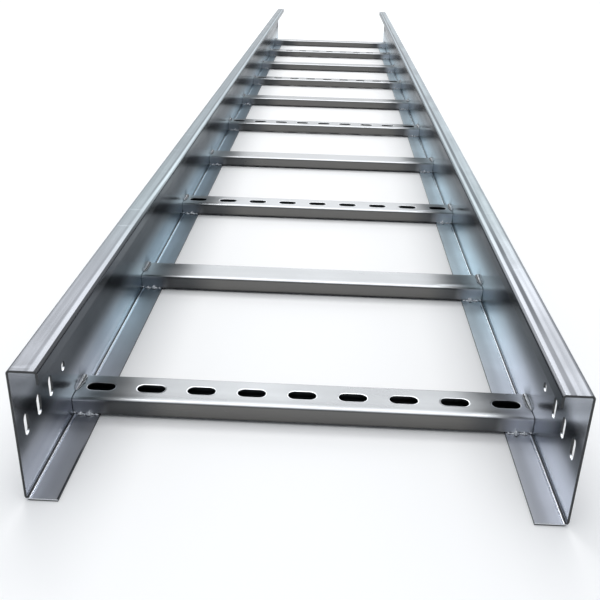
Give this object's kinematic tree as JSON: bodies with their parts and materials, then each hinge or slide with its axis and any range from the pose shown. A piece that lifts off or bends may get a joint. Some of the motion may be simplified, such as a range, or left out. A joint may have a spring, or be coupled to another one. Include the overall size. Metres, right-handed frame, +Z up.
{
  "type": "cable ladder section",
  "caption": "Straight galvanised steel cable ladder section: formed side rails with inward flanges, welded C-shaped rungs, slotted rungs alternating with plain ones.",
  "frame": {"origin": "on the floor, at the middle of the ladder's footprint", "axes": "+X across the ladder to the right-hand rail, +Y along the ladder, +Z up from the floor to the open cable side"},
  "size_m": [0.45, 3, 0.125],
  "materials": {
    "rail_steel": "bright galvanised sheet, smooth, with a soft sheen",
    "rung_steel": "galvanised sheet, matt to satin"
  },
  "bodies": {
    "root": {"rail_left": "rail_steel", "rail_right": "rail_steel", "rung_01": "rung_steel", "rung_02": "rung_steel", "rung_03": "rung_steel", "rung_04": "rung_steel", "rung_05": "rung_steel", "rung_06": "rung_steel", "rung_07": "rung_steel", "rung_08": "rung_steel", "rung_09": "rung_steel", "rung_10": "rung_steel"}
  },
  "joints": []
}
